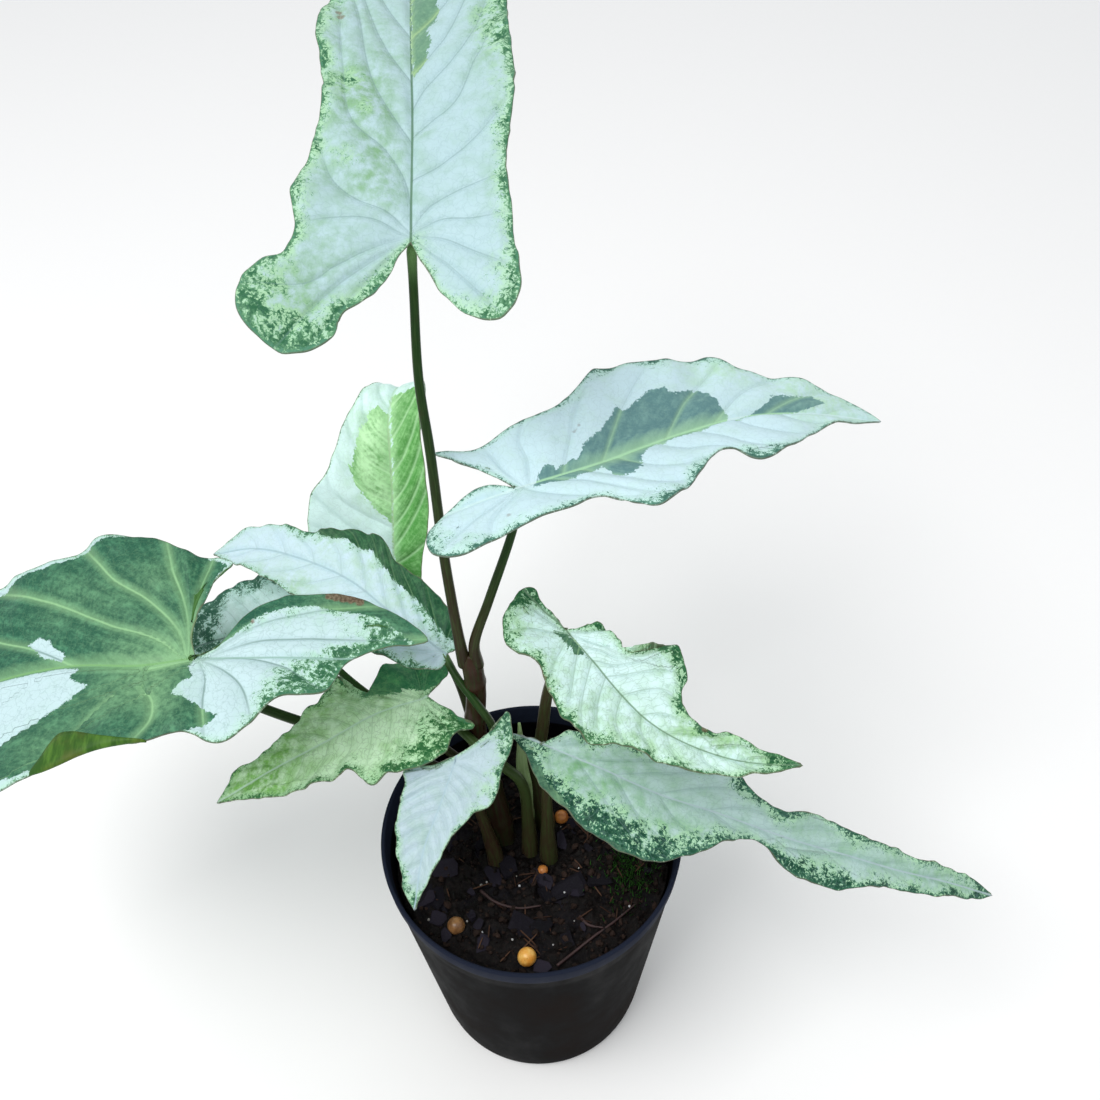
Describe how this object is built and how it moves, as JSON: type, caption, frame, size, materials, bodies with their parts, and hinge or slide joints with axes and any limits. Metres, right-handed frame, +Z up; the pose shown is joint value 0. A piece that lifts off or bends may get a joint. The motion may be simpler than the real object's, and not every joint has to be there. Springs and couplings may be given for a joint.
{
  "type": "potted three kings syngonium",
  "caption": "Young arrowhead plant with white and green variegated blades on slender stalks, growing from dark mix in a tapered black nursery pot.",
  "frame": {"origin": "middle of the pot's flat underside", "axes": "+Z up out of the pot, -Y towards the front of the plant, +X to the right seen from the front"},
  "size_m": [0.2883, 0.1978, 0.2557],
  "materials": {
    "pot_plastic": "matt black polyethylene with a faint brown bloom",
    "potting_mix": "damp bark and peat",
    "leaf_variegated": "satin, bluish white with green margins, patches and speckle",
    "leaf_green": "satin, dark green with pale veins and a white lobe",
    "petiole": "smooth dark green stalk",
    "stem": "reddish brown stem with a green tinge",
    "new_leaf": "pale green rolled blade",
    "bead_yellow": "slightly glossy resin coat",
    "bead_orange": "slightly glossy resin coat",
    "bead_brown": "slightly glossy resin coat"
  },
  "bodies": {
    "root": {"pot": "pot_plastic", "soil": "potting_mix", "leaf_a": "leaf_variegated", "leaf_b": "leaf_variegated", "leaf_c": "leaf_variegated", "leaf_d": "leaf_variegated", "leaf_e": "leaf_green", "leaf_f": "leaf_variegated", "leaf_h": "leaf_variegated", "leaf_i": "leaf_variegated", "leaf_j": "leaf_variegated", "leaf_k": "leaf_variegated", "stem": "stem", "petiole_a": "petiole", "petiole_b": "petiole", "petiole_c": "petiole", "petiole_d": "petiole", "petiole_e": "petiole", "petiole_f": "petiole", "petiole_h": "petiole", "petiole_i": "petiole", "petiole_j": "petiole", "petiole_k": "petiole", "new_leaf": "new_leaf", "bead_front": "bead_yellow", "bead_left": "bead_brown", "bead_middle": "bead_orange", "bead_inner": "bead_orange"}
  },
  "joints": []
}
